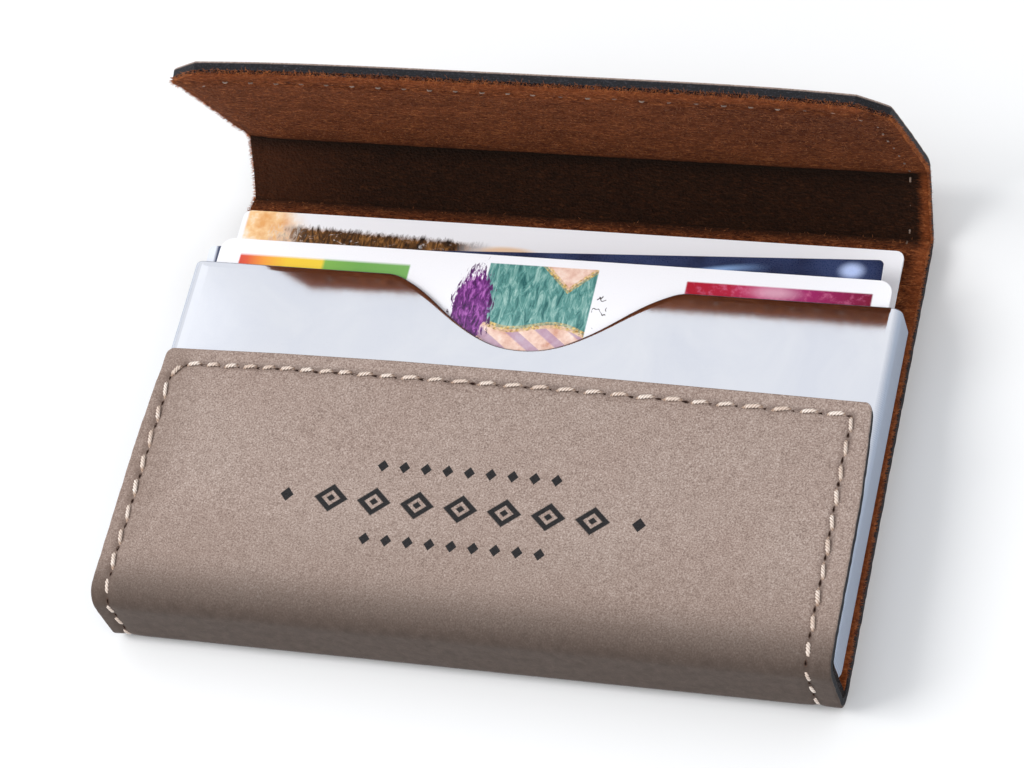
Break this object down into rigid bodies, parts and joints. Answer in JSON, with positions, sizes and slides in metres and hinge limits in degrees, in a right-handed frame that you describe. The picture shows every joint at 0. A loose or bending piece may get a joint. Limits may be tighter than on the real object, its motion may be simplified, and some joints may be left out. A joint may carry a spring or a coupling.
{
  "type": "business card case",
  "caption": "Slim pocket case for business cards: a metal card box with a thumb scoop inside a stitched leatherette wrap with a hinged magnetic flap.",
  "frame": {"origin": "centre of the flat outer face of the back panel, on which the case lies", "axes": "+X right along the wide side, +Y towards the mouth of the card box and the flap, +Z out of the front face"},
  "size_m": [0.0936, 0.0725, 0.0367],
  "materials": {
    "leatherette": "matt taupe leatherette with a fine speckled grain",
    "suede_lining": "brushed brown microsuede",
    "stiffener_board": "plain grey board",
    "seam_thread": "twisted cream polyester thread",
    "satin_metal": "satin, almost white",
    "nickel_magnet": "nickel plated",
    "card_white": "coated white card",
    "card_navy": "coated card printed dark blue",
    "card_picture": "coated card with a printed picture"
  },
  "bodies": {
    "case": {"case_leather": "leatherette", "case_lining": "suede_lining", "back_board": "stiffener_board", "bottom_board": "stiffener_board", "case_thread": "seam_thread", "card_box": "satin_metal"},
    "spine": {"spine_leather": "leatherette", "spine_board": "stiffener_board", "spine_lining": "suede_lining", "spine_thread_left": "seam_thread", "spine_thread_right": "seam_thread"},
    "flap": {"flap_leather": "leatherette", "flap_board": "stiffener_board", "flap_lining": "suede_lining", "flap_thread": "seam_thread", "magnet_left": "nickel_magnet", "magnet_right": "nickel_magnet"},
    "front_cards": {"front_card": "card_white", "navy_card": "card_navy"},
    "rear_card": {"tall_card": "card_picture"}
  },
  "joints": [
    {"name": "spine_hinge", "type": "hinge", "parent": "case", "child": "spine", "pos_m": [0, 0.0315, 0.0005], "axis": [-1, 0, 0], "range_deg": [-38, 52]},
    {"name": "flap_hinge", "type": "hinge", "parent": "spine", "child": "flap", "pos_m": [0, 0.03803, 0.00885], "axis": [-1, 0, 0], "range_deg": [-30, 55.2]},
    {"name": "front_cards_slide", "type": "slide", "parent": "case", "child": "front_cards", "axis": [0, 1, 0], "range_m": [0, 0.005]},
    {"name": "rear_card_slide", "type": "slide", "parent": "case", "child": "rear_card", "axis": [0, 1, 0], "range_m": [-0.0074, 0.0015]}
  ]
}
